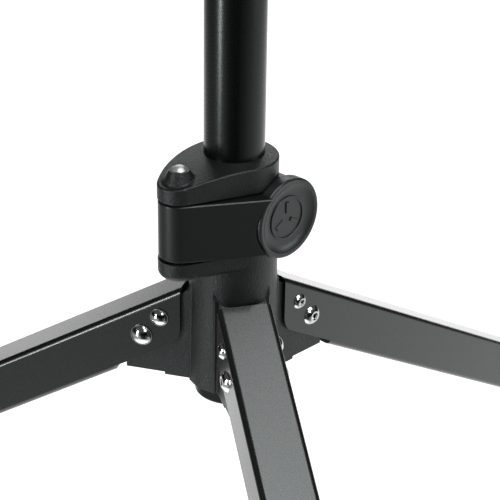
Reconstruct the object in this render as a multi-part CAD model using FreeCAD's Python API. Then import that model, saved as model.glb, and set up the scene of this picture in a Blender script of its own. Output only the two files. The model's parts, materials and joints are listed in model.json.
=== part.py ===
"""Tripod stand for a loudspeaker: a cast hub that clamps a round pole, three folding legs
and a telescoping top pole. Millimetres, +Z up, origin on the pole axis at floor level."""
import FreeCAD, Part
import math
import os

V = FreeCAD.Vector
UP = V(0, 0, 1)
ORIGIN = V(0, 0, 0)

# ---------------------------------------------------------------- driving dimensions
# Poles
POLE_R = 19.0                    # outer tube, 38 mm
POLE_WALL = 1.4
POLE_LENGTH = 800.0
INNER_R = 17.5                   # inner tube, 35 mm, also the loudspeaker's spigot
INNER_WALL = 2.0
INNER_LENGTH = 760.0
SPIGOT_LENGTH = 110.0            # inner tube standing above the collar when it is down
RUNNING_GAP = 0.06               # radial clearance of a running fit

# Legs
LEG_SLOPE = 30.7                 # degrees below level, legs spread
LEG_AZIMUTHS = {"front": -75.8, "right": 44.2, "left": 164.2}
LEG_WIDTH = 35.5
LEG_HEIGHT = 35.5
LEG_WALL = 2.0
LEG_CORNER_R = 3.7
LEG_INNER_CORNER_R = 2.0
LEG_LENGTH = 520.0               # from the pivot to the tube's outer end
PIVOT_R = 56.3                   # pivot's distance from the pole axis
PIVOT_BELOW_TOP = 18.7           # pivot below the leg's top face, square to the leg
PIVOT_BELOW_HUB_TOP = 130.5
CHANNEL_LENGTH = 31.0            # pivot to the start of the leg's bottom wall
CHANNEL_SLANT = 2.5              # lean of the bottom wall's cut end
LEG_END_R = 30.2                 # upright end of the leg, from the pole axis
LEG_END_ARC = 14.0
LEG_INWARD = 60.0                # uncut tube's reach inwards of the pivot
CHEEK_ABOVE_FLOOR = 1.2          # cheeks' lower edge above the bottom wall, beside the hub
STOP_IN = 12.2                   # stop bolt, inwards of the pivot
STOP_UP = 14.9                   # and above it
FOLD_ANGLE = 90.0 - LEG_SLOPE
BUSH_R = 6.0

# Bolts through a leg's cheeks: shank radius, head radius and height, hexagon across flats,
# and the dome nut's radius and height
PIVOT_BOLT = {"r": 4.0, "head_r": 6.9, "head_h": 3.2, "hexagon": 5.0, "nut_r": 7.2, "nut_h": 4.8}
STOP_BOLT = {"r": 3.0, "head_r": 5.3, "head_h": 2.5, "hexagon": 4.0, "nut_r": 6.0, "nut_h": 4.0}
HEAD_CROWN = 1.3                 # full height of a head's dome over the flat that trims it
SOCKET_DEPTH = 0.75              # of the head's height
NUT_RIM = 0.8
NUT_STEP = 0.15                  # dome's edge inside the nut's rim

# Feet
FOOT_WALL = 3.0
FOOT_SLEEVE = 45.0
FOOT_SOLE = 6.5
FOOT_NOSE = 26.0
FOOT_NOSE_FILLET = 5.5

# Hub
HUB_HEIGHT = 159.2               # bottom face to the hub's top level
HUB_R = 27.9
HUB_FOOT_R = 29.3                # the barrel widens slightly towards its foot
UPPER_PLATE_BOTTOM = -18.0       # levels measured down from the hub's top
PLATE_TOP_DROP = 0.6             # upper plate's conical top at the pole, below the hub's top level
PLATE_TOP_SLOPE = 0.21           # and its fall per millimetre of radius
JAW_TOP = -19.2
JAW_BOTTOM = -57.4
LOWER_PLATE_TOP = -58.6
LOWER_PLATE_BOTTOM = -71.0
PIN_CENTRE = (-32.9, -29.7)      # hinge pin of the clamp jaw
PLATE_NOSE_R = 13.6
PIN_R = 4.0
BOSS_BASE_R = 11.0
BOSS_FOOT_R = 12.2
BOSS_TOP_R = 6.4
BOSS_HEIGHT = 7.4
BACK_WALL = (100.0, 205.0)       # azimuths of the wall that joins the two plates
TONGUE_SIDE_GAP = 0.35
TONGUE_HEAD_GAP = 1.5            # under the leg's top wall, clear of its rounded corners
TONGUE_OUT = 11.7                # tongue's end, outwards of the pivot
TONGUE_BOTTOM = -157.4
TONGUE_STEP_R = 41.5             # inside this radius the tongue reaches the hub's bottom face
TONGUE_INNER_R = 8.0
PLATE_SIDE_R = 75.0              # long arc of the plates' outline on the back left
PLATE_EDGE_FILLET = 1.4
LOWER_PLATE_FILLET = 5.0
BOSS_SINK = 3.6                  # how far the pin's boss starts inside the plate
BOSS_FILLET = 1.5
PIN_HEAD = (4.9, 2.6)            # domed head's radius and height
PIN_RECESS_R = 7.6               # recess under the lower plate for the pin's end and ring
PIN_RECESS_DEPTH = 3.6
PIN_GROOVE_WIDTH = 1.0
PIN_GROOVE_DEPTH = 0.8
PIN_RING_R = 7.0
PIN_RING_WIDTH = 0.9
ROOT_WIDTH = 36.4                # block that carries each tongue on the barrel
ROOT_OUT = 24.0
ROOT_TOP = -92.0
ROOT_SLOPE_TOP = -83.0
ROOT_SLOPE_R = 20.6
ROOT_FILLET = 1.0

# Clamp jaw, knobs and screws
JAW_FRONT = 34.8                 # flat front face, from the pole axis
JAW_TURN = 12.0                  # degrees that the front face turns about +Z
JAW_KNUCKLE_R = 13.2
JAW_EDGE_FILLET = 1.5
JAW_BORE_GAP = 0.5
JAW_OPEN = (62.0, 212.0)         # azimuths between which the jaw leaves room for the back wall
JAW_FRONT_END = 30.0             # right end of the front face, sideways from the pole axis
# Outline behind the knob: distances along and beside the screw's azimuth
JAW_SHOULDER = ((30.0, 26.0), (19.0, 27.0), (6.0, 27.1))
KNOB_AZIMUTH = -45.0
KNOB_OFFSET = 14.0               # screw axis beside the pole axis
KNOB_LEVEL = -39.4
KNOB_FACE = 35.2                 # knob's front rim, from the pole axis along the screw
KNOB_R = 26.3
KNOB_DEPTH = 11.0
KNOB_BACK_ROUND = 4.0
KNOB_FRONT_ROUND = 1.8
KNOB_RIM = 3.4                   # width of the rolled rim, which falls a little inwards
KNOB_RIM_FALL = 0.3
KNOB_DISH = 2.6                  # depth of the dish at the badge
KNOB_DISH_MID = (19.3, 2.0)      # a point of the dish: radius, and depth below the front
KNOB_RECESS = (8.5, 3.0)         # radius and depth of the recess in the knob's back
CAP_R = 15.4                     # badge disc in the knob's dish
CAP_DEPTH = 1.6
CAP_RELIEF = 0.8
CAP_RELIEF_ROUND = 0.4
CAP_RING = (0.8, 2.4)            # raised ring's edges, inside the badge's rim
CAP_BAR = (3.4, 10.6, 1.4)       # raised bars: start and end from the centre, half width
POCKET_R = 27.3
POCKET_FLOOR = 22.8
SCREW_R = 4.0
SCREW_TRAVEL = 1.25              # one turn of the M8 screw frees the clamp
INSERT_R = 6.0
INSERT_LENGTH = 5.0
SHOE_R = 7.5
SHOE_TAIL = 8.0                  # inner end of the clamp's shoe along the screw axis
SHOE_ROOM_START = 2.0
INSERT_PROUD = 1.2               # insert's outer end, past the pocket's floor
SHOE_SLACK = 0.15                # left between the shoe's travel and the insert

# Height collar at the top of the outer tube
COLLAR_R = 25.0
COLLAR_BELOW = 55.0              # collar's reach below the outer tube's end
COLLAR_ABOVE = 18.0
COLLAR_BOSS_R = 11.0
COLLAR_BOSS_END = 43.0
COLLAR_SCREW_DROP = 22.0         # height screw below the outer tube's end
COLLAR_KNOB_FACE = 55.4
COLLAR_FILLET = 2.5
COLLAR_BOSS_FILLET = 1.5
COLLAR_BORE_GAP = 0.5            # round the inner tube, above the bush
COLLAR_SHOE_END = 25.2           # inner end of the thread insert, from the pole axis
BUSH_LENGTH = 15.0
RIVET_AZIMUTHS = (45.0, 135.0, 225.0)
RIVET_R = 2.4
RIVET_HEAD = (4.2, 1.6)          # head's radius and height
RIVET_RISE = 12.0                # above the collar's lower end
SPIGOT_GROOVE = 100.0            # shallow groove this far below the spigot's end
GROOVE_DEPTH = 0.3
GROOVE_WIDTH = 1.2
PLUG_WALL = 2.0
GUIDE_FOOT = 12.0                # inner tube's guide below the tube's end
GUIDE_PLUG = 23.5                # and inside it
SPIGOT_CAP = 4.0
SPIGOT_CAP_FILLET = 1.6
SPIGOT_PLUG = 19.5

# Cap on the outer tube's lower end
END_CAP_R = 24.8
END_CAP_DEPTH = 10.6
END_CAP_FLOOR = 2.5
END_CAP_FILLET = 1.6
END_CAP_PLUG = 21.5              # plug's reach inside the tube

# ---------------------------------------------------------------- worked-out sizes
SLOPE = math.radians(LEG_SLOPE)
TUBE_UNDER_PIVOT = LEG_HEIGHT - PIVOT_BELOW_TOP
TONGUE_WIDTH = LEG_WIDTH - 2 * (LEG_WALL + TONGUE_SIDE_GAP)
PIVOT_Z = (LEG_LENGTH * math.sin(SLOPE) + TUBE_UNDER_PIVOT * math.cos(SLOPE) + FOOT_SOLE)
HUB_TOP = PIVOT_Z + PIVOT_BELOW_HUB_TOP
HUB_BOTTOM = HUB_TOP - HUB_HEIGHT
POLE_BOTTOM = HUB_BOTTOM - END_CAP_DEPTH + END_CAP_FLOOR
POLE_TOP = POLE_BOTTOM + POLE_LENGTH
COLLAR_TOP = POLE_TOP + COLLAR_ABOVE
INNER_TOP = COLLAR_TOP + SPIGOT_LENGTH
INNER_BOTTOM = INNER_TOP - INNER_LENGTH


# ---------------------------------------------------------------- small helpers
def cylinder(radius, height, base=ORIGIN, axis=UP):
    return Part.makeCylinder(radius, height, base, axis)


def ring(outer, inner, height, base=ORIGIN, axis=UP):
    return cylinder(outer, height, base, axis).cut(cylinder(inner, height, base, axis))


def on_axis(distance, azimuth, level, sideways=0.0):
    """Point at a distance along an azimuth, moved sideways (90 degrees counter-clockwise)."""
    a = math.radians(azimuth)
    return V(distance * math.cos(a) - sideways * math.sin(a),
             distance * math.sin(a) + sideways * math.cos(a), level)


def direction(azimuth):
    return on_axis(1.0, azimuth, 0.0)


def prism(points, height, axis=UP):
    """Straight-sided prism on a closed polygon of vectors."""
    wire = Part.makePolygon(points + [points[0]])
    return Part.Face(wire).extrude(axis * height)


def sector(radius, start, end, z0, z1, steps=8):
    """Wedge of a cylinder between two azimuths, for cutting."""
    points = [V(0, 0, z0)]
    for i in range(steps + 1):
        points.append(on_axis(radius, start + (end - start) * i / steps, z0))
    return prism(points, z1 - z0)


def plate(z0, z1):
    """Clamp plate: a circle round the pole and a nose round the hinge pin, joined by a
    straight tangent in front and by a long tangent arc behind."""
    centre, nose = V(0, 0, z0), V(PIN_CENTRE[0], PIN_CENTRE[1], z0)
    span = (nose - centre).Length
    heading = math.atan2(nose.y, nose.x)
    spread = math.acos((HUB_R - PLATE_NOSE_R) / span)

    def point(middle, radius, angle):
        return V(middle.x + radius * math.cos(angle), middle.y + radius * math.sin(angle), z0)

    reach_a, reach_b = PLATE_SIDE_R - HUB_R, PLATE_SIDE_R - PLATE_NOSE_R
    swing = math.acos((reach_a ** 2 + span ** 2 - reach_b ** 2) / (2 * reach_a * span))
    side = point(centre, reach_a, heading + swing)
    angle_a = math.atan2(-side.y, -side.x)
    angle_b = math.atan2(nose.y - side.y, nose.x - side.x)
    front_a = point(centre, HUB_R, heading + spread)
    front_b = point(nose, PLATE_NOSE_R, heading + spread)
    back_a, back_b = point(centre, HUB_R, angle_a), point(nose, PLATE_NOSE_R, angle_b)
    mid_side = point(side, PLATE_SIDE_R, (angle_a + angle_b % (2 * math.pi)) / 2)
    edges = [
        Part.Arc(back_a, point(centre, HUB_R, heading + math.pi), front_a).toShape(),
        Part.LineSegment(front_a, front_b).toShape(),
        Part.Arc(front_b, point(nose, PLATE_NOSE_R, heading), back_b).toShape(),
        Part.Arc(back_b, mid_side, back_a).toShape(),
    ]
    return Part.Face(Part.Wire(edges)).extrude(V(0, 0, z1 - z0))


def fillet_where(shape, radius, wanted):
    """Fillet every edge that the test accepts."""
    return shape.makeFillet(radius, [e for e in shape.Edges if wanted(e)])


def level_edge(edge, level, slack=0.05):
    box = edge.BoundBox
    return abs(box.ZMin - level) < slack and abs(box.ZMax - level) < slack


def domed_head(radius, height, base, axis):
    """Round head with a domed top, standing on a plane."""
    sphere_r = (radius * radius + height * height) / (2.0 * height)
    ball = Part.makeSphere(sphere_r, base - axis * (sphere_r - height))
    return ball.common(cylinder(radius + 0.01, height + 1.0, base, axis))


def leg_frame(azimuth):
    """Pivot point and the leg's own directions: along, across and upwards."""
    out = direction(azimuth)
    pivot = out * PIVOT_R + V(0, 0, PIVOT_Z)
    along = out * math.cos(SLOPE) - UP * math.sin(SLOPE)
    upward = out * math.sin(SLOPE) + UP * math.cos(SLOPE)
    across = direction(azimuth + 90.0)
    return pivot, along, across, upward


# ---------------------------------------------------------------- hub
def tongue(azimuth):
    """Flat lug between a leg's two cheeks, with the pivot hole and the stop bolt's notch."""
    out = direction(azimuth)
    across = direction(azimuth + 90.0)
    pivot = out * PIVOT_R + V(0, 0, PIVOT_Z)
    head = PIVOT_BELOW_TOP - LEG_WALL - TONGUE_HEAD_GAP
    bottom = TONGUE_BOTTOM + PIVOT_BELOW_HUB_TOP
    foot = PIVOT_BELOW_HUB_TOP - HUB_HEIGHT
    step = TONGUE_STEP_R - PIVOT_R
    inner = TONGUE_INNER_R - PIVOT_R
    shoulder = (head * math.sin(SLOPE), head * math.cos(SLOPE))
    end_top = math.sqrt(head * head - TONGUE_OUT * TONGUE_OUT)
    rise = (shoulder[0] - inner) * math.tan(SLOPE)
    profile = [
        (inner, foot), (step, foot), (step, bottom), (TONGUE_OUT, bottom),
        (TONGUE_OUT, end_top), shoulder, (inner, shoulder[1] + rise),
    ]
    side = across * (-TONGUE_WIDTH / 2.0)
    body = prism([pivot + side + out * x + UP * z for x, z in profile], TONGUE_WIDTH, across)
    bore = cylinder(BUSH_R, TONGUE_WIDTH + 2, pivot - across * (TONGUE_WIDTH / 2 + 1), across)
    return body.cut(bore).cut(stop_notch(azimuth))


def root_block(azimuth):
    """Block on the barrel that carries a tongue, with a sloping top."""
    out = direction(azimuth)
    across = direction(azimuth + 90.0)
    profile = [
        (TONGUE_INNER_R, HUB_BOTTOM), (ROOT_OUT, HUB_BOTTOM), (ROOT_OUT, HUB_TOP + ROOT_TOP),
        (ROOT_SLOPE_R, HUB_TOP + ROOT_SLOPE_TOP), (TONGUE_INNER_R, HUB_TOP + ROOT_SLOPE_TOP),
    ]
    side = across * (-ROOT_WIDTH / 2.0)
    block = prism([side + out * x + UP * z for x, z in profile], ROOT_WIDTH, across)

    def on_face(edge):
        ends = [v.Point for v in edge.Vertexes]
        upright = abs(abs(ends[0].z - ends[1].z) - edge.Length) < 0.01
        return upright and all(abs(p.dot(out) - ROOT_OUT) < 0.01 for p in ends)

    return fillet_where(block, ROOT_FILLET, on_face)


def stop_notch(azimuth):
    """Curved slot that the stop bolt sweeps as its leg folds."""
    pivot, along, across, upward = leg_frame(azimuth)
    out = direction(azimuth)
    reach = math.hypot(STOP_IN, STOP_UP)
    start = math.degrees(math.atan2(STOP_UP, -STOP_IN))
    half = STOP_BOLT["r"] + 0.25
    low = pivot - across * (TONGUE_WIDTH / 2 + 1)
    height = TONGUE_WIDTH + 2
    band = ring(reach + half, reach - half, height, low, across)
    points = [low]
    for i in range(9):
        a = math.radians(start - (FOLD_ANGLE + 20.0) * i / 8)
        points.append(low + out * (60 * math.cos(a)) + UP * (60 * math.sin(a)))
    slot = band.common(prism(points, height, across))
    end = low + out * -STOP_IN + UP * STOP_UP
    return slot.fuse(cylinder(half, height, end, across))


def crown_level(radius):
    """Level of the upper plate's conical top at a distance from the pole axis."""
    return HUB_TOP - PLATE_TOP_DROP - PLATE_TOP_SLOPE * (radius - POLE_R)


def crown_edge(edge):
    """Outer edges of the conical top."""
    points = [edge.valueAt(edge.FirstParameter), edge.valueAt(edge.LastParameter),
              edge.valueAt((edge.FirstParameter + edge.LastParameter) / 2)]
    radii = [math.hypot(p.x, p.y) for p in points]
    on_cone = all(abs(p.z - crown_level(r)) < 0.05 for p, r in zip(points, radii))
    return on_cone and radii[2] > POLE_R + 2.0


def boss_foot(edge):
    """Where the hinge pin's boss meets the conical top."""
    pin = V(PIN_CENTRE[0], PIN_CENTRE[1], 0)
    step = (edge.LastParameter - edge.FirstParameter) / 4
    points = [edge.valueAt(edge.FirstParameter + step * i) for i in range(5)]
    return all(BOSS_TOP_R + 1.0 < (V(p.x, p.y, 0) - pin).Length < BOSS_FOOT_R
               and p.z > HUB_TOP + UPPER_PLATE_BOTTOM + 1.0 for p in points)


def hub_plates():
    """Upper and lower plates around the clamp jaw, with the wall that joins them."""
    z = HUB_TOP
    cone_r = 150.0
    low, high = crown_level(cone_r), crown_level(POLE_R)
    crown = Part.makeCone(cone_r, POLE_R, high - low, V(0, 0, low), UP)
    upper = plate(z + UPPER_PLATE_BOTTOM, z).common(crown)
    upper = fillet_where(upper, PLATE_EDGE_FILLET, crown_edge)
    boss_top = crown_level(math.hypot(*PIN_CENTRE) - BOSS_BASE_R) + BOSS_SINK
    boss_base = V(PIN_CENTRE[0], PIN_CENTRE[1], boss_top - BOSS_SINK - BOSS_HEIGHT)
    boss = Part.makeCone(BOSS_FOOT_R, BOSS_TOP_R, BOSS_HEIGHT + BOSS_SINK, boss_base, UP)
    upper = fillet_where(upper.fuse(boss), BOSS_FILLET, boss_foot)
    lower = plate(z + LOWER_PLATE_BOTTOM, z + LOWER_PLATE_TOP)
    lower = fillet_where(lower, LOWER_PLATE_FILLET, lambda e: level_edge(e, z + LOWER_PLATE_BOTTOM))
    wall = cylinder(HUB_R, -LOWER_PLATE_TOP, V(0, 0, z + LOWER_PLATE_TOP))
    wall = wall.common(sector(2 * HUB_R, BACK_WALL[0], BACK_WALL[1], z + LOWER_PLATE_TOP - 1,
                              z + UPPER_PLATE_BOTTOM + 1))
    return upper.fuse([lower, wall]), boss_top


def hub_casting():
    plates, boss_top = hub_plates()
    barrel_top = HUB_TOP + (LOWER_PLATE_TOP + LOWER_PLATE_BOTTOM) / 2
    barrel = Part.makeCone(HUB_FOOT_R, HUB_R, barrel_top - HUB_BOTTOM, V(0, 0, HUB_BOTTOM), UP)
    hub = plates.fuse(barrel)
    for azimuth in LEG_AZIMUTHS.values():
        hub = hub.fuse([root_block(azimuth), tongue(azimuth)])
    hub = hub.removeSplitter()
    hub = hub.cut(cylinder(POLE_R + RUNNING_GAP, HUB_HEIGHT + 20, V(0, 0, HUB_BOTTOM - 10)))
    hub = hub.cut(knob_pocket())
    pin_hole = cylinder(PIN_R, HUB_HEIGHT, V(PIN_CENTRE[0], PIN_CENTRE[1], HUB_BOTTOM))
    recess = cylinder(PIN_RECESS_R, PIN_RECESS_DEPTH + 1,
                      V(PIN_CENTRE[0], PIN_CENTRE[1], HUB_TOP + LOWER_PLATE_BOTTOM - 1))
    return hub.cut(pin_hole).cut(recess), boss_top


# ---------------------------------------------------------------- clamp
def pin_groove_level():
    """Bottom of the pin's ring groove, just under the floor of the lower plate's recess."""
    return HUB_TOP + LOWER_PLATE_BOTTOM + PIN_RECESS_DEPTH - PIN_GROOVE_WIDTH - RUNNING_GAP


def hinge_pin(boss_top):
    """Pin with a bright domed head on the boss and a groove for its ring."""
    x, y = PIN_CENTRE
    bottom = HUB_TOP + LOWER_PLATE_BOTTOM + RUNNING_GAP
    rod = cylinder(PIN_R, boss_top - bottom, V(x, y, bottom))
    head = domed_head(PIN_HEAD[0], PIN_HEAD[1], V(x, y, boss_top), UP)
    groove = ring(PIN_R + 1, PIN_R - PIN_GROOVE_DEPTH, PIN_GROOVE_WIDTH, V(x, y, pin_groove_level()))
    return rod.fuse(head).removeSplitter().cut(groove)


def pin_ring():
    """Open retaining ring in the pin's groove."""
    x, y = PIN_CENTRE
    base = V(x, y, pin_groove_level() + (PIN_GROOVE_WIDTH - PIN_RING_WIDTH) / 2)
    clip = ring(PIN_RING_R, PIN_R - PIN_GROOVE_DEPTH + RUNNING_GAP, PIN_RING_WIDTH, base)
    mouth = Part.makeBox(PIN_RING_R + 1, PIN_R + 0.4, 2, V(x, y - PIN_R / 2 - 0.2, base.z - 0.5))
    return clip.cut(mouth)


def screw_axis():
    """A point on the clamp screw's axis beside the pole, and the axis direction, outwards."""
    return on_axis(0.0, KNOB_AZIMUTH, HUB_TOP + KNOB_LEVEL, KNOB_OFFSET), direction(KNOB_AZIMUTH)


def knob_pocket():
    """Round room for the knob, cut from the jaw and from the plates' edges."""
    base, axis = screw_axis()
    return cylinder(POCKET_R, 60.0, base + axis * POCKET_FLOOR, axis)


def clamp_jaw():
    """Hooked jaw: a flat-fronted arm from the hinge pin, a round pocket for the knob
    and a hook round the back of the pole."""
    z0 = HUB_TOP + JAW_BOTTOM
    height = JAW_TOP - JAW_BOTTOM
    pin = V(PIN_CENTRE[0], PIN_CENTRE[1], z0)
    front = direction(-90.0 + JAW_TURN)
    side = direction(JAW_TURN)
    arm_outline = [
        pin,
        pin + front * JAW_KNUCKLE_R,
        V(0, 0, z0) + front * JAW_FRONT + side * JAW_FRONT_END,
        *[on_axis(along, KNOB_AZIMUTH, z0, beside) for along, beside in JAW_SHOULDER],
        V(0, 0, z0),
    ]
    knuckle = cylinder(JAW_KNUCKLE_R, height, pin)
    shell = cylinder(HUB_R, height, V(0, 0, z0))
    shell = shell.cut(sector(3 * HUB_R, JAW_OPEN[0], JAW_OPEN[1], z0 - 1, z0 + height + 1))
    body = knuckle.fuse([prism(arm_outline, height), shell]).removeSplitter()
    body = body.cut(cylinder(POLE_R + JAW_BORE_GAP, height + 2, V(0, 0, z0 - 1)))
    body = fillet_where(body, JAW_EDGE_FILLET, lambda e: front_face_edge(e) and (
        level_edge(e, z0) or level_edge(e, z0 + height)))
    body = body.cut(knob_pocket())
    base, axis = screw_axis()
    room = shoe_room_end() - SHOE_ROOM_START
    body = body.cut(cylinder(SHOE_R + RUNNING_GAP, room, base + axis * SHOE_ROOM_START, axis))
    body = body.cut(cylinder(INSERT_R, POCKET_FLOOR, base + axis * (shoe_room_end() - 0.01), axis))
    return body.cut(cylinder(PIN_R + RUNNING_GAP, height + 2, pin - UP))


def front_face_edge(edge):
    """Top and bottom edges of the jaw's flat front and of its knuckle."""
    front = direction(-90.0 + JAW_TURN)
    middle = edge.valueAt((edge.FirstParameter + edge.LastParameter) / 2)
    flat = V(middle.x, middle.y, 0)
    on_front = abs(flat.dot(front) - JAW_FRONT) < 0.3
    on_knuckle = abs((flat - V(PIN_CENTRE[0], PIN_CENTRE[1], 0)).Length - JAW_KNUCKLE_R) < 0.05
    return on_front or on_knuckle


def shoe_seat():
    """Where the clamp screw's tip meets the shoe, along the screw axis."""
    return shoe_room_end() - SCREW_TRAVEL - SHOE_SLACK


def shoe_room_end():
    return POCKET_FLOOR + INSERT_PROUD - INSERT_LENGTH


def thread_insert(base, axis, start, length):
    """Brass insert with a plain bore at the screw's size."""
    body = cylinder(INSERT_R, length, base + axis * start, axis)
    return body.cut(cylinder(SCREW_R + RUNNING_GAP, length + 2, base + axis * (start - 1), axis))


def screw(base, axis, tip, end):
    rod = cylinder(SCREW_R, end - tip, base + axis * tip, axis)
    tail = Part.makeCone(SCREW_R - 1.0, SCREW_R, 1.0, base + axis * tip, axis)
    return rod.cut(cylinder(SCREW_R + 1, 1.0, base + axis * tip, axis)).fuse(tail).removeSplitter()


def knob(base, axis, face):
    """Round knob with a rolled rim and a dished face, moulded on the screw's end."""
    back = face - KNOB_DEPTH
    short = 1.0 - math.sqrt(0.5)
    rear, front = KNOB_BACK_ROUND, KNOB_FRONT_ROUND
    seat = KNOB_DEPTH - KNOB_DISH
    floor = seat - CAP_DEPTH

    def at(radius, level):
        return V(radius, 0, level)

    rim = at(KNOB_R - KNOB_RIM, KNOB_DEPTH - KNOB_RIM_FALL)
    profile = [
        Part.LineSegment(at(0, 0), at(KNOB_R - rear, 0)),
        Part.Arc(at(KNOB_R - rear, 0), at(KNOB_R - rear * short, rear * short), at(KNOB_R, rear)),
        Part.LineSegment(at(KNOB_R, rear), at(KNOB_R, KNOB_DEPTH - front)),
        Part.Arc(at(KNOB_R, KNOB_DEPTH - front), at(KNOB_R - front * short, KNOB_DEPTH - front * short),
                 at(KNOB_R - front, KNOB_DEPTH)),
        Part.LineSegment(at(KNOB_R - front, KNOB_DEPTH), rim),
        Part.Arc(rim, at(KNOB_DISH_MID[0], KNOB_DEPTH - KNOB_DISH_MID[1]), at(CAP_R, seat)),
        Part.LineSegment(at(CAP_R, seat), at(CAP_R, floor)),
        Part.LineSegment(at(CAP_R, floor), at(0, floor)),
        Part.LineSegment(at(0, floor), at(0, 0)),
    ]
    half = Part.Face(Part.Wire([p.toShape() for p in profile]))
    body = place_on(half.revolve(ORIGIN, UP, 360), base + axis * back, axis)
    recess = cylinder(KNOB_RECESS[0], KNOB_RECESS[1], base + axis * (back - 0.01), axis)
    stem = cylinder(SCREW_R, KNOB_DEPTH, base + axis * (back - 1), axis)
    return body.cut(recess).cut(stem)


def knob_cap(base, axis, face):
    """Badge disc in the dish, with a plain ring and three raised bars."""
    seat = face - KNOB_DISH - CAP_DEPTH
    disc = cylinder(CAP_R, CAP_DEPTH, base + axis * seat, axis)
    top = base + axis * (seat + CAP_DEPTH)
    disc = disc.fuse(ring(CAP_R - CAP_RING[0], CAP_R - CAP_RING[1], CAP_RELIEF, top, axis))
    near, far, half = CAP_BAR
    level_side = axis.cross(UP)
    for i in range(3):
        turn = math.radians(90.0 + 120.0 * i)
        bar_dir = level_side * math.cos(turn) + UP * math.sin(turn)
        cross = axis.cross(bar_dir)
        corners = [top + bar_dir * near - cross * half, top + bar_dir * far - cross * half,
                   top + bar_dir * far + cross * half, top + bar_dir * near + cross * half]
        disc = disc.fuse(prism(corners, CAP_RELIEF, axis))

    def on_relief(edge):
        ends = (edge.firstVertex().Point, edge.lastVertex().Point)
        return all(abs((p - top).dot(axis) - CAP_RELIEF) < 0.01 for p in ends)

    return fillet_where(disc.removeSplitter(), CAP_RELIEF_ROUND, on_relief)


def place_on(shape, base, axis):
    """Turn a shape from +Z to an axis and move its origin to a point."""
    placed = shape.copy()
    placed.Placement = FreeCAD.Placement(base, FreeCAD.Rotation(UP, axis))
    return placed


def clamp_shoe(base, axis):
    """Cotter with a hollow face that wedges against the side of the pole."""
    body = cylinder(SHOE_R, shoe_seat() - SHOE_TAIL, base + axis * SHOE_TAIL, axis)
    return body.cut(cylinder(POLE_R + RUNNING_GAP, 4 * SHOE_R, V(0, 0, base.z - 2 * SHOE_R)))


# ---------------------------------------------------------------- poles and height collar
def outer_tube():
    tube = ring(POLE_R, POLE_R - POLE_WALL, POLE_LENGTH, V(0, 0, POLE_BOTTOM))
    base, axis = height_axis()
    return tube.cut(cylinder(SHOE_R + 0.6, POLE_R + 5, base, axis))


def end_cap():
    """Glossy cap on the pole's lower end; its flange stops the pole under the hub."""
    bottom = HUB_BOTTOM - END_CAP_DEPTH
    flange = cylinder(END_CAP_R, END_CAP_DEPTH - RUNNING_GAP, V(0, 0, bottom))
    flange = fillet_where(flange, END_CAP_FILLET, lambda e: level_edge(e, bottom))
    flange = flange.cut(cylinder(POLE_R, END_CAP_DEPTH, V(0, 0, POLE_BOTTOM)))
    plug = cylinder(POLE_R - POLE_WALL, END_CAP_PLUG + 0.5, V(0, 0, POLE_BOTTOM - 0.5))
    hollow = cylinder(POLE_R - POLE_WALL - PLUG_WALL, END_CAP_PLUG, V(0, 0, POLE_BOTTOM + 1.0))
    return flange.fuse(plug).removeSplitter().cut(hollow)


def height_axis():
    return V(0, 0, POLE_TOP - COLLAR_SCREW_DROP), direction(KNOB_AZIMUTH)


def collar_casting():
    """Sleeve riveted round the outer tube's top, with the height screw's boss."""
    bottom = POLE_TOP - COLLAR_BELOW
    body = cylinder(COLLAR_R, COLLAR_TOP - bottom, V(0, 0, bottom))
    body = fillet_where(body, COLLAR_FILLET,
                        lambda e: level_edge(e, bottom) or level_edge(e, COLLAR_TOP))
    base, axis = height_axis()
    boss = cylinder(COLLAR_BOSS_R, COLLAR_BOSS_END, base, axis)

    def on_boss_end(edge):
        return abs((edge.BoundBox.Center - base).dot(axis) - COLLAR_BOSS_END) < 0.5

    boss = fillet_where(boss, COLLAR_BOSS_FILLET, on_boss_end)
    body = body.fuse(boss).removeSplitter()
    body = body.cut(cylinder(POLE_R, COLLAR_BELOW + 1, V(0, 0, bottom - 1)))
    body = body.cut(cylinder(POLE_R, BUSH_LENGTH, V(0, 0, POLE_TOP)))
    body = body.cut(cylinder(INNER_R + COLLAR_BORE_GAP, COLLAR_ABOVE + 1, V(0, 0, POLE_TOP)))
    body = body.cut(cylinder(SHOE_R + RUNNING_GAP, COLLAR_SHOE_END, base, axis))
    body = body.cut(cylinder(INSERT_R, COLLAR_BOSS_END, base, axis))
    for azimuth in RIVET_AZIMUTHS:
        body = body.cut(rivet(azimuth))
    return body


def collar_bush():
    """Plastic ring that guides the inner tube inside the collar."""
    return ring(POLE_R, INNER_R + RUNNING_GAP, BUSH_LENGTH, V(0, 0, POLE_TOP))


def rivet(azimuth):
    level = POLE_TOP - COLLAR_BELOW + RIVET_RISE
    axis = direction(azimuth)
    base = V(0, 0, level)
    shank = cylinder(RIVET_R, COLLAR_R - POLE_R, base + axis * POLE_R, axis)
    shank = shank.cut(cylinder(POLE_R, 20.0, V(0, 0, level - 10.0)))
    head = domed_head(RIVET_HEAD[0], RIVET_HEAD[1], base + axis * (COLLAR_R - 0.2), axis)
    return shank.fuse(head).removeSplitter()


def height_shoe():
    base, axis = height_axis()
    body = cylinder(SHOE_R, COLLAR_SHOE_END - SCREW_TRAVEL - SHOE_SLACK, base, axis)
    return body.cut(cylinder(INNER_R + RUNNING_GAP, 4 * SHOE_R, base - UP * (2 * SHOE_R)))


def inner_tube():
    """Inner tube, its top the loudspeaker's spigot, marked off by a shallow groove."""
    tube = ring(INNER_R, INNER_R - INNER_WALL, INNER_LENGTH, V(0, 0, INNER_BOTTOM))
    groove = ring(INNER_R + 1.0, INNER_R - GROOVE_DEPTH, GROOVE_WIDTH,
                  V(0, 0, INNER_TOP - SPIGOT_GROOVE - GROOVE_WIDTH))
    return tube.cut(groove)


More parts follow.
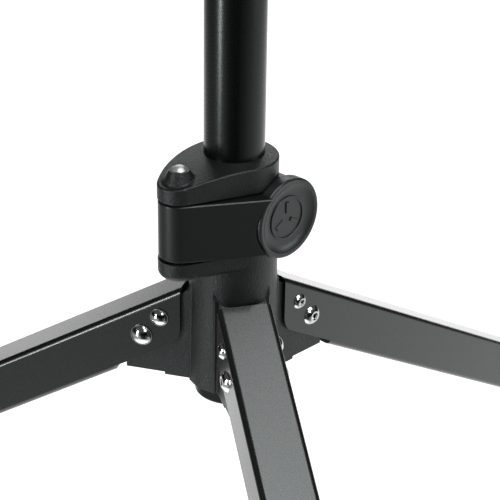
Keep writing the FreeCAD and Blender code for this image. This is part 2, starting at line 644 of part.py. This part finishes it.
def inner_guide():
    """Plastic ring plug that centres the inner tube's lower end in the outer tube."""
    low = INNER_BOTTOM - GUIDE_FOOT
    foot = cylinder(POLE_R - POLE_WALL - RUNNING_GAP, GUIDE_FOOT, V(0, 0, low))
    plug = cylinder(INNER_R - INNER_WALL, GUIDE_FOOT + GUIDE_PLUG, V(0, 0, low))
    body = foot.fuse(plug).removeSplitter()
    bore = cylinder(INNER_R - INNER_WALL - PLUG_WALL, GUIDE_FOOT + GUIDE_PLUG + 2, V(0, 0, low - 1))
    return body.cut(bore)


def top_plug():
    """Cap that closes the spigot's end."""
    cap = cylinder(INNER_R, SPIGOT_CAP, V(0, 0, INNER_TOP))
    cap = fillet_where(cap, SPIGOT_CAP_FILLET, lambda e: level_edge(e, INNER_TOP + SPIGOT_CAP))
    low = INNER_TOP - SPIGOT_PLUG
    plug = cylinder(INNER_R - INNER_WALL, SPIGOT_PLUG + 0.5, V(0, 0, low))
    hollow = cylinder(INNER_R - INNER_WALL - PLUG_WALL, SPIGOT_PLUG, V(0, 0, low - 1))
    return cap.fuse(plug).removeSplitter().cut(hollow)


# ---------------------------------------------------------------- legs
def long_box(width, low, high, start, end, corner_r, azimuth):
    """Rounded box along a leg, sized across, upwards and along from the pivot."""
    pivot, along, across, upward = leg_frame(azimuth)
    corners = [pivot + along * start + across * (x * width / 2) + upward * z
               for x, z in ((-1, low), (1, low), (1, high), (-1, high))]
    box = prism(corners, end - start, along)
    return fillet_where(box, corner_r, lambda e: abs(e.Length - (end - start)) < 0.01)


def leg_tube(azimuth):
    """Square tube with an upright inner end and its bottom wall cut away over the hub."""
    pivot, along, across, upward = leg_frame(azimuth)
    out = direction(azimuth)
    top = PIVOT_BELOW_TOP
    low = -TUBE_UNDER_PIVOT
    start = -LEG_INWARD
    outer = long_box(LEG_WIDTH, low, top, start, LEG_LENGTH, LEG_CORNER_R, azimuth)
    inner = long_box(LEG_WIDTH - 2 * LEG_WALL, low + LEG_WALL, top - LEG_WALL,
                     start - 1, LEG_LENGTH + 1, LEG_INNER_CORNER_R, azimuth)
    end_x = LEG_END_R - PIVOT_R
    cheek = low + LEG_WALL + CHEEK_ABOVE_FLOOR
    side = across * -(LEG_WIDTH / 2 + 1)

    def at(s, u):
        return pivot + side + along * s + upward * u

    def end_at(u):
        return at((end_x - u * math.sin(SLOPE)) / math.cos(SLOPE), u)

    outline = [end_at(top + 5), end_at(cheek), at(CHANNEL_LENGTH, cheek),
               at(CHANNEL_LENGTH + CHANNEL_SLANT, low - 5), at(LEG_LENGTH + 5, low - 5),
               at(LEG_LENGTH + 5, top + 5)]
    keep = prism(outline, LEG_WIDTH + 2, across)
    lower_corner = end_at(cheek)
    keep = fillet_where(keep, LEG_END_ARC,
                        lambda e: abs(e.Length - LEG_WIDTH - 2) < 0.01
                        and min((v.Point - lower_corner).Length for v in e.Vertexes) < 0.1)
    tube = outer.cut(inner).common(keep)
    through = LEG_WIDTH + 2
    for centre, bolt in bolt_places(azimuth):
        tube = tube.cut(cylinder(bolt["r"], through, centre - across * (through / 2), across))
    return tube


def bolt_places(azimuth):
    pivot = leg_frame(azimuth)[0]
    stop = pivot - direction(azimuth) * STOP_IN + UP * STOP_UP
    return (pivot, PIVOT_BOLT), (stop, STOP_BOLT)


def socket_bolt(centre, bolt, azimuth):
    """Button-head bolt with a hexagon socket, its head on the leg's clockwise cheek."""
    across = direction(azimuth + 90.0)
    head_h = bolt["head_h"]
    base = centre - across * (LEG_WIDTH / 2)
    shank = cylinder(bolt["r"], LEG_WIDTH, base, across)
    head = domed_head(bolt["head_r"], head_h * HEAD_CROWN, base, -across)
    head = head.common(cylinder(bolt["head_r"] + 1, head_h, base, -across))
    upward = leg_frame(azimuth)[3]
    sideways = upward.cross(across)
    reach = bolt["hexagon"] / math.sqrt(3.0)
    hexagon = []
    for i in range(6):
        a = math.radians(60.0 * i)
        hexagon.append(base - across * (head_h + 0.1)
                       + upward * (reach * math.cos(a)) + sideways * (reach * math.sin(a)))
    recess = prism(hexagon, head_h * SOCKET_DEPTH + 0.1, across)
    return shank.fuse(head).removeSplitter().cut(recess)


def dome_nut(centre, bolt, azimuth):
    across = direction(azimuth + 90.0)
    base = centre + across * (LEG_WIDTH / 2)
    rim = cylinder(bolt["nut_r"], NUT_RIM, base, across)
    dome_base = base + across * NUT_RIM
    dome = domed_head(bolt["nut_r"] - NUT_STEP, bolt["nut_h"] - NUT_RIM, dome_base, across)
    return rim.fuse(dome).removeSplitter()


def pivot_bush(azimuth):
    """Plastic bush in the hub's tongue, round the pivot bolt."""
    across = direction(azimuth + 90.0)
    base = leg_frame(azimuth)[0] - across * (TONGUE_WIDTH / 2)
    return ring(BUSH_R, PIVOT_BOLT["r"] + RUNNING_GAP, TONGUE_WIDTH, base, across)


def rubber_foot(azimuth):
    """Rubber boot over the tube's end, cut level where it stands on the floor."""
    top = PIVOT_BELOW_TOP
    low = -TUBE_UNDER_PIVOT
    start = LEG_LENGTH - FOOT_SLEEVE
    boot = long_box(LEG_WIDTH + 2 * FOOT_WALL, low - FOOT_WALL, top + FOOT_WALL,
                    start, LEG_LENGTH + FOOT_NOSE, LEG_CORNER_R + FOOT_WALL, azimuth)
    pivot, along, _, upward = leg_frame(azimuth)
    nose = LEG_LENGTH + FOOT_NOSE

    def on_nose(edge):
        centre = edge.BoundBox.Center - pivot
        return centre.dot(along) > nose - 1.0 and centre.dot(upward) > low

    boot = fillet_where(boot, FOOT_NOSE_FILLET, on_nose)
    pocket = long_box(LEG_WIDTH, low, top, start - 1, LEG_LENGTH, LEG_CORNER_R, azimuth)
    boot = boot.cut(pocket)
    far = 2000.0
    below = Part.makeBox(far, far, far, V(-far / 2, -far / 2, -far))
    return boot.cut(below)


# ---------------------------------------------------------------- assembly
def build():
    nodes = {}
    nodes["hub_casting"], boss_top = hub_casting()
    nodes["hinge_pin"] = hinge_pin(boss_top)
    nodes["hinge_pin_ring"] = pin_ring()
    nodes["clamp_jaw"] = clamp_jaw()
    base, axis = screw_axis()
    nodes["clamp_thread_insert"] = thread_insert(base, axis, shoe_room_end(), INSERT_LENGTH)
    nodes["clamp_shoe"] = clamp_shoe(base, axis)
    knob_nodes(nodes, "clamp", base, axis, shoe_seat(), KNOB_FACE)

    nodes["outer_tube"] = outer_tube()
    nodes["pole_end_cap"] = end_cap()
    nodes["height_collar"] = collar_casting()
    nodes["collar_bush"] = collar_bush()
    nodes["collar_rivets"] = Part.makeCompound([rivet(a) for a in RIVET_AZIMUTHS])
    nodes["inner_tube"] = inner_tube()
    nodes["inner_tube_guide"] = inner_guide()
    nodes["spigot_plug"] = top_plug()
    base, axis = height_axis()
    nodes["height_thread_insert"] = thread_insert(base, axis, COLLAR_SHOE_END,
                                                  COLLAR_BOSS_END - COLLAR_SHOE_END)
    nodes["height_shoe"] = height_shoe()
    tip = COLLAR_SHOE_END - SCREW_TRAVEL - SHOE_SLACK
    knob_nodes(nodes, "height", base, axis, tip, COLLAR_KNOB_FACE)

    for name, azimuth in LEG_AZIMUTHS.items():
        nodes["leg_tube_" + name] = leg_tube(azimuth)
        for place, (centre, bolt) in zip(("pivot", "stop"), bolt_places(azimuth)):
            nodes["%s_bolt_%s" % (place, name)] = socket_bolt(centre, bolt, azimuth)
            nodes["%s_nut_%s" % (place, name)] = dome_nut(centre, bolt, azimuth)
        nodes["pivot_bush_" + name] = pivot_bush(azimuth)
        nodes["rubber_foot_" + name] = rubber_foot(azimuth)
    return nodes


def knob_nodes(nodes, prefix, base, axis, tip, face):
    nodes[prefix + "_screw"] = screw(base, axis, tip, face - KNOB_DISH - CAP_DEPTH)
    nodes[prefix + "_knob"] = knob(base, axis, face)
    nodes[prefix + "_knob_badge"] = knob_cap(base, axis, face)


def main():
    os.makedirs("parts", exist_ok=True)
    for name, shape in build().items():
        shape.exportStep("parts/%s.step" % name)
        box = shape.BoundBox
        print("%-22s solids %d valid %s volume %9.1f  z %7.1f..%7.1f"
              % (name, len(shape.Solids), shape.isValid(), shape.Volume, box.ZMin, box.ZMax))


main()
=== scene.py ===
"""Looks of a speaker tripod stand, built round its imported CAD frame. Metres, +Z up."""
import bpy
import json
import math
from mathutils import Matrix, Vector

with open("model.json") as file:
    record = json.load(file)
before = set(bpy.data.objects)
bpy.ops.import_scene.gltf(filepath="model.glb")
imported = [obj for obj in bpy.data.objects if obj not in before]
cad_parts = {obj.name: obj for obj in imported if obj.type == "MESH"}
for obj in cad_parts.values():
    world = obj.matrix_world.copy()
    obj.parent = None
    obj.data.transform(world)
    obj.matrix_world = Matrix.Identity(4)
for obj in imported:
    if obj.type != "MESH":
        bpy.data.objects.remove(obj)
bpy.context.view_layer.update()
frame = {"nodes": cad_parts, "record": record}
NODES = frame["nodes"]

# ---------------------------------------------------------------- camera, as fitted to the photograph
CAMERA_PLACE = (0.0, -0.9145, 0.81374)
CAMERA_AIM = (0.0106, 0.0, 0.34804)
CAMERA_ROLL = 0.884              # degrees, turns the camera anticlockwise
CAMERA_LENS = 116.46             # millimetres
CAMERA_SENSOR = 36.0             # millimetres
CAMERA_NEAR = 0.01               # nearest distance that the camera sees

# ---------------------------------------------------------------- floor
FLOOR_SIZE = 14.0
FLOOR_LEVEL = -0.3               # under the feet of the folded legs, which hang below the spread ones
FLOOR_GREY = 0.5
FLOOR_GLOW = 1.0                 # the floor is a light table, so it stays white and shows no shadow

# ---------------------------------------------------------------- lights
LIGHT_AIM = (0.0, 0.0, 0.36)     # the hub's middle, which every soft box faces
# Each soft box: its name, its place, its width and height, and its radiance
SOFT_BOXES = (("top_box", (0.62, -0.55, 2.2), (1.3, 1.1), 3.8),
              ("left_strip", (-1.05, -0.70, 0.42), (0.16, 0.9), 18.0),
              ("back_box", (0.1, 2.3, 1.6), (2.2, 1.0), 2.2),
              ("right_strip", (1.5, -0.25, 0.42), (0.8, 0.35), 4.0),
              ("front_key", (0.50, -1.20, 1.40), (0.5, 0.5), 4.5),
              ("edge_light", (0.24, -0.61, 1.86), (0.35, 0.35), 8.0))
SKY_WHITE_BELOW = 0.12           # sine of the elevation where the white backdrop starts to fade
SKY_DARK_ABOVE = 0.26            # and where it ends
SKY_DARK = 0.07                  # brightness of the sky above it

# ---------------------------------------------------------------- reflector: a round floor with a wall
REFLECTOR_R = 6.0
REFLECTOR_SIDES = 48
REFLECTOR_LEVEL = 0.001          # its floor, just above the soles of the spread legs
REFLECTOR_TOP = 3.0
REFLECTOR_FADE = (0.06, 0.3)     # heights between which its wall goes dark
REFLECTOR_GLOW = 1.45            # brightness below those heights
REFLECTOR_DARK = 0.05            # brightness above them
# Its share of that brightness round the stand: degrees from the front, positive to the right
REFLECTOR_STOPS = ((-180, 1.0), (-158, 1.0), (-146, 0.8), (-124, 0.3), (-100, 0.18), (-75, 0.24),
                   (-40, 0.29), (-20, 0.03), (12, 0.0), (60, 0.36), (95, 0.6), (130, 0.75),
                   (160, 1.0), (180, 1.0))
REFLECTOR_NEAR = (1.2, 2.2)      # distances between which it fades, except behind the stand
REFLECTOR_FAR_SHARE = 0.08       # what is left of its brightness past them
REFLECTOR_BEHIND = (140, 155)    # degrees from the front between which that fading stops
SPOT_CENTRE = (-0.12, -0.05, 0.0)
REFLECTOR_SPOT = (0.17, 0.31)    # its floor is bright round that point, fading between these distances

# ---------------------------------------------------------------- finishes
COOL_TINT = (0.9, 1.0, 0.985, 1.0)   # specular tint of every material that isn't metal
NOISE_SPREAD = (0.3, 0.7)            # most values of a noise lie between these
MIX_RGBA_INPUTS = (0, 6, 7)          # a Mix node's factor and two colours, by number as names repeat
MIX_RGBA_OUTPUT = 2
BRUSHED_PIN = (0.42, 0.55)           # lowest and highest roughness of the hinge pin's steel


def make_camera():
    data = bpy.data.cameras.new("camera")
    data.lens = CAMERA_LENS
    data.sensor_width = CAMERA_SENSOR
    data.clip_start = CAMERA_NEAR
    camera = bpy.data.objects.new("camera", data)
    bpy.context.collection.objects.link(camera)
    place = Vector(CAMERA_PLACE)
    look = (Vector(CAMERA_AIM) - place).to_track_quat("-Z", "Y").to_matrix()
    roll = Matrix.Rotation(math.radians(CAMERA_ROLL), 3, "Z")
    camera.matrix_world = Matrix.Translation(place) @ (look @ roll).to_4x4()
    bpy.context.scene.camera = camera


def soft_box(name, place, size, radiance):
    """Rectangular light that faces the hub; radiance is how bright its face is."""
    data = bpy.data.lights.new(name, "AREA")
    data.shape = "RECTANGLE"
    data.size, data.size_y = size
    data.energy = radiance * math.pi * size[0] * size[1]
    light = bpy.data.objects.new(name, data)
    light.visible_camera = False
    bpy.context.collection.objects.link(light)
    turn = (Vector(LIGHT_AIM) - Vector(place)).to_track_quat("-Z", "Y")
    light.matrix_world = Matrix.Translation(place) @ turn.to_matrix().to_4x4()


def make_sky():
    """White near the horizon and dark overhead, as a white backdrop in a dark studio."""
    world = bpy.data.worlds.new("studio")
    world.use_nodes = True
    tree = world.node_tree
    place = tree.nodes.new("ShaderNodeTexCoord")
    split = tree.nodes.new("ShaderNodeSeparateXYZ")
    fade = tree.nodes.new("ShaderNodeMapRange")
    fade.interpolation_type = "SMOOTHSTEP"
    for name, number in (("From Min", SKY_WHITE_BELOW), ("From Max", SKY_DARK_ABOVE),
                         ("To Min", 1.0), ("To Max", SKY_DARK)):
        fade.inputs[name].default_value = number
    tree.links.new(place.outputs["Generated"], split.inputs["Vector"])
    tree.links.new(split.outputs["Z"], fade.inputs["Value"])
    tree.links.new(fade.outputs["Result"], tree.nodes["Background"].inputs["Color"])
    bpy.context.scene.world = world


def stage_mesh(name, corners, faces, material):
    """Mesh that belongs to the studio and not to the stand."""
    mesh = bpy.data.meshes.new(name)
    mesh.from_pydata(corners, [], faces)
    mesh.materials.append(material)
    piece = bpy.data.objects.new(name, mesh)
    bpy.context.collection.objects.link(piece)
    return piece


def make_reflector():
    """Dish that only reflections see: mostly bright behind the stand, dark towards the camera."""
    corners = [(0.0, 0.0, REFLECTOR_LEVEL)]
    for height in (REFLECTOR_LEVEL, REFLECTOR_TOP):
        for i in range(REFLECTOR_SIDES):
            turn = 2 * math.pi * i / REFLECTOR_SIDES
            corners.append((REFLECTOR_R * math.sin(turn), -REFLECTOR_R * math.cos(turn), height))
    faces = []
    for i in range(REFLECTOR_SIDES):
        low = 1 + i
        after = 1 + (i + 1) % REFLECTOR_SIDES
        faces.append((0, low, after))
        faces.append((low, low + REFLECTOR_SIDES, after + REFLECTOR_SIDES, after))
    dish = stage_mesh("reflector", corners, faces, reflector_material())
    dish.visible_camera = False
    dish.visible_diffuse = False
    dish.visible_shadow = False


def make_floor():
    """White ground that the camera sees and that reflections don't."""
    half = FLOOR_SIZE / 2
    signs = ((-1, -1), (1, -1), (1, 1), (-1, 1))
    corners = [(half * x, half * y, FLOOR_LEVEL) for x, y in signs]
    floor = stage_mesh("floor", corners, [(0, 1, 2, 3)], floor_material())
    floor.visible_glossy = False


def make_studio():
    for name, place, size, radiance in SOFT_BOXES:
        soft_box(name, place, size, radiance)
    make_sky()
    make_reflector()
    make_floor()


# ---------------------------------------------------------------- material tools
class Paint:
    """A procedural material: a Principled shader and short calls that wire nodes to it."""

    def __init__(self, name, color=None, roughness=None, metallic=0.0):
        """Colour and roughness are left out where nodes give them later."""
        self.material = bpy.data.materials.new(name)
        self.material.use_nodes = True
        self.tree = self.material.node_tree
        self.shader = self.tree.nodes["Principled BSDF"]
        self.place = self.tree.nodes.new("ShaderNodeTexCoord").outputs["Object"]
        self.normal = None
        self.set(Metallic=metallic)
        if color:
            self.set(Base_Color=(*color, 1.0))
        if roughness:
            self.set(Roughness=roughness)
        if not metallic:
            self.set(Specular_Tint=COOL_TINT)

    def set(self, **values):
        """Sets inputs of the shader; an underscore stands for a space in a name."""
        for name, value in values.items():
            self.shader.inputs[name.replace("_", " ")].default_value = value

    def feed(self, name, value):
        self.tree.links.new(value, self.shader.inputs[name])

    def noise(self, scale, detail=3.0, squeeze=None):
        """Noise with scale features in a metre; squeeze multiplies that along X, Y and Z."""
        node = self.tree.nodes.new("ShaderNodeTexNoise")
        node.inputs["Scale"].default_value = scale
        node.inputs["Detail"].default_value = detail
        place = self.place
        if squeeze:
            mapping = self.tree.nodes.new("ShaderNodeMapping")
            mapping.inputs["Scale"].default_value = squeeze
            self.tree.links.new(place, mapping.inputs["Vector"])
            place = mapping.outputs["Vector"]
        self.tree.links.new(place, node.inputs["Vector"])
        return node.outputs["Fac"]

    def ramp(self, value, span, result):
        """Maps one range of a value to another, clamped; each is a pair of ends."""
        node = self.tree.nodes.new("ShaderNodeMapRange")
        for name, number in zip(("From Min", "From Max", "To Min", "To Max"), (*span, *result)):
            node.inputs[name].default_value = number
        self.tree.links.new(value, node.inputs["Value"])
        return node.outputs["Result"]

    def distance(self, point):
        node = self.tree.nodes.new("ShaderNodeVectorMath")
        node.operation = "DISTANCE"
        self.tree.links.new(self.place, node.inputs[0])
        node.inputs[1].default_value = point
        return node.outputs["Value"]

    def calculate(self, operation, first, second=0.0):
        """Result of a Math node; first is a node's output, and second may be a number."""
        node = self.tree.nodes.new("ShaderNodeMath")
        node.operation = operation
        self.tree.links.new(first, node.inputs[0])
        if isinstance(second, float):
            node.inputs[1].default_value = second
        else:
            self.tree.links.new(second, node.inputs[1])
        return node.outputs["Value"]

    def mottle(self, noise, span, first, second):
        """Colours the material between two colours as a noise goes through a span."""
        node = self.tree.nodes.new("ShaderNodeMix")
        node.data_type = "RGBA"
        factor, color_a, color_b = (node.inputs[i] for i in MIX_RGBA_INPUTS)
        color_a.default_value = (*first, 1.0)
        color_b.default_value = (*second, 1.0)
        self.tree.links.new(self.ramp(noise, span, (0.0, 1.0)), factor)
        self.feed("Base Color", node.outputs[MIX_RGBA_OUTPUT])

    def roughen(self, noise, lowest, highest, span=NOISE_SPREAD):
        """Varies the roughness between two values as a noise goes through a span."""
        self.feed("Roughness", self.ramp(noise, span, (lowest, highest)))

    def bump(self, height, depth, strength=1.0):
        """Adds a bump whose full height range is a depth in metres."""
        node = self.tree.nodes.new("ShaderNodeBump")
        node.inputs["Strength"].default_value = strength
        node.inputs["Distance"].default_value = depth
        self.tree.links.new(height, node.inputs["Height"])
        if self.normal:
            self.tree.links.new(self.normal, node.inputs["Normal"])
        self.normal = node.outputs["Normal"]
        self.feed("Normal", self.normal)


# ---------------------------------------------------------------- stage materials
def floor_material():
    paint = Paint("pale_floor", (FLOOR_GREY, FLOOR_GREY, FLOOR_GREY), roughness=0.9)
    paint.set(Emission_Color=(1.0, 1.0, 1.0, 1.0), Emission_Strength=FLOOR_GLOW)
    paint.bump(paint.noise(scale=60.0), depth=0.0004)
    return paint.material


def brightness_round_stand(paint, turn):
    """Share of the reflector's brightness for each direction, by its list of stops."""
    ramp = paint.tree.nodes.new("ShaderNodeValToRGB")
    paint.tree.links.new(paint.ramp(turn, (-math.pi, math.pi), (0.0, 1.0)), ramp.inputs["Fac"])
    stops = ramp.color_ramp.elements
    while len(stops) < len(REFLECTOR_STOPS):
        stops.new(0.5)
    for stop, (degrees, share) in zip(stops, REFLECTOR_STOPS):
        stop.position = degrees / 360.0 + 0.5
        stop.color = (share, share, share, 1.0)
    return ramp.outputs["Color"]


def reflector_material():
    """Glow that changes with the direction and the distance, and fades out with height."""
    paint = Paint("reflector", (0.0, 0.0, 0.0), roughness=1.0)
    paint.set(Specular_IOR_Level=0.0, Emission_Color=(1.0, 1.0, 1.0, 1.0))
    split = paint.tree.nodes.new("ShaderNodeSeparateXYZ")
    paint.tree.links.new(paint.place, split.inputs["Vector"])
    towards_camera = paint.calculate("MULTIPLY", split.outputs["Y"], -1.0)
    turn = paint.calculate("ARCTAN2", split.outputs["X"], towards_camera)
    behind_span = [math.radians(degrees) for degrees in REFLECTOR_BEHIND]
    behind = paint.ramp(paint.calculate("ABSOLUTE", turn), behind_span, (0.0, 1.0))
    near = paint.ramp(paint.distance((0.0, 0.0, 0.0)), REFLECTOR_NEAR, (1.0, REFLECTOR_FAR_SHARE))
    spot = paint.ramp(paint.distance(SPOT_CENTRE), REFLECTOR_SPOT, (1.0, 0.0))
    lit = paint.calculate("MAXIMUM", behind, near)
    share = paint.calculate("MULTIPLY", brightness_round_stand(paint, turn), lit)
    share = paint.calculate("MAXIMUM", share, spot)
    glow = paint.ramp(split.outputs["Z"], REFLECTOR_FADE, (REFLECTOR_GLOW, REFLECTOR_DARK))
    paint.feed("Emission Strength", paint.calculate("MULTIPLY", share, glow))
    return paint.material


# ---------------------------------------------------------------- the stand's materials, by slot
def cast_black():
    """Fine-grained die casting under black powder coat."""
    paint = Paint("cast_black")
    grain = paint.noise(scale=850.0, detail=4.0)
    blotch = paint.noise(scale=45.0)
    paint.mottle(blotch, (0.35, 0.65), (0.005, 0.0053, 0.0055), (0.009, 0.0094, 0.0098))
    paint.roughen(grain, 0.33, 0.47)
    paint.bump(grain, depth=0.0004)
    return paint.material


def jaw_black():
    """Smooth satin casting."""
    paint = Paint("jaw_black", (0.007, 0.0074, 0.0077))
    grain = paint.noise(scale=1400.0)
    paint.roughen(grain, 0.29, 0.38)
    paint.bump(grain, depth=0.00008, strength=0.35)
    return paint.material


def tube_black():
    """Satin powder coat on round tube, with faint orange peel."""
    paint = Paint("tube_black", (0.0015, 0.0015, 0.0015))
    peel = paint.noise(scale=260.0, detail=2.0)
    fine = paint.noise(scale=1800.0, detail=2.0)
    paint.roughen(fine, 0.2, 0.3)
    paint.bump(peel, depth=0.00004, strength=0.2)
    paint.bump(fine, depth=0.00003, strength=0.25)
    return paint.material


def leg_black():
    """Satin powder coat on square tube, under a glossier skin."""
    paint = Paint("leg_black", (0.004, 0.004, 0.0041))
    paint.set(Coat_Weight=0.6, Coat_Roughness=0.16)
    peel = paint.noise(scale=300.0, detail=2.0)
    fine = paint.noise(scale=1600.0, detail=2.0)
    paint.roughen(fine, 0.23, 0.33)
    paint.bump(peel, depth=0.00004, strength=0.25)
    paint.bump(fine, depth=0.00003, strength=0.2)
    return paint.material


def knob_black():
    """Moulded plastic with a satin spark finish."""
    paint = Paint("knob_black", (0.012, 0.012, 0.013))
    paint.set(Specular_IOR_Level=0.65)
    spark = paint.noise(scale=2200.0, detail=2.0)
    paint.roughen(spark, 0.3, 0.42)
    paint.bump(spark, depth=0.00004, strength=0.35)
    return paint.material


def gloss_black():
    """Polished plastic, very slightly wavy."""
    paint = Paint("gloss_black", (0.004, 0.004, 0.004))
    wave = paint.noise(scale=70.0, detail=2.0)
    paint.roughen(wave, 0.05, 0.12)
    paint.bump(wave, depth=0.00008, strength=0.2)
    return paint.material


def bright_steel(name="bright_steel", smoothest=0.1, roughest=0.2):
    """Nickel plate with faint handling marks."""
    paint = Paint(name, (0.78, 0.78, 0.79), metallic=1.0)
    marks = paint.noise(scale=420.0, detail=4.0)
    paint.roughen(marks, smoothest, roughest, span=(0.35, 0.7))
    paint.bump(marks, depth=0.00003, strength=0.3)
    return paint.material


def bush_plastic():
    """Plain moulded plastic of the bushes, guides and shoes."""
    paint = Paint("bush_plastic", (0.05, 0.05, 0.053), roughness=0.5)
    paint.bump(paint.noise(scale=900.0), depth=0.00005, strength=0.3)
    return paint.material


def insert_brass():
    """Brass with fine turning marks."""
    paint = Paint("insert_brass", (0.72, 0.52, 0.22), roughness=0.3, metallic=1.0)
    turned = paint.noise(scale=300.0, detail=2.0, squeeze=(1.0, 1.0, 8.0))
    paint.bump(turned, depth=0.00004, strength=0.4)
    return paint.material


def foot_rubber():
    """Matt moulded rubber, dusty towards paler grey in patches."""
    paint = Paint("foot_rubber", roughness=0.75)
    dust = paint.noise(scale=90.0, detail=5.0)
    paint.mottle(dust, (0.45, 0.75), (0.012, 0.012, 0.012), (0.03, 0.029, 0.028))
    paint.bump(paint.noise(scale=1200.0), depth=0.00012, strength=0.5)
    return paint.material


def dress_nodes():
    """Gives every CAD node the material of its slot in the record, and the hinge pin rougher steel."""
    makers = {maker.__name__: maker for maker in (
        cast_black, jaw_black, tube_black, leg_black, knob_black, gloss_black,
        bright_steel, bush_plastic, insert_brass, foot_rubber)}
    made = {}
    for part in frame["record"]["subparts"]:
        slot = part["material_slot"]
        if slot not in made:
            made[slot] = makers[slot]()
        materials = NODES[part["node"]].data.materials
        materials.clear()
        materials.append(made[slot])
    NODES["hinge_pin"].data.materials[0] = bright_steel("brushed_steel", *BRUSHED_PIN)


bpy.context.scene.view_settings.view_transform = "Standard"
make_camera()
make_studio()
dress_nodes()
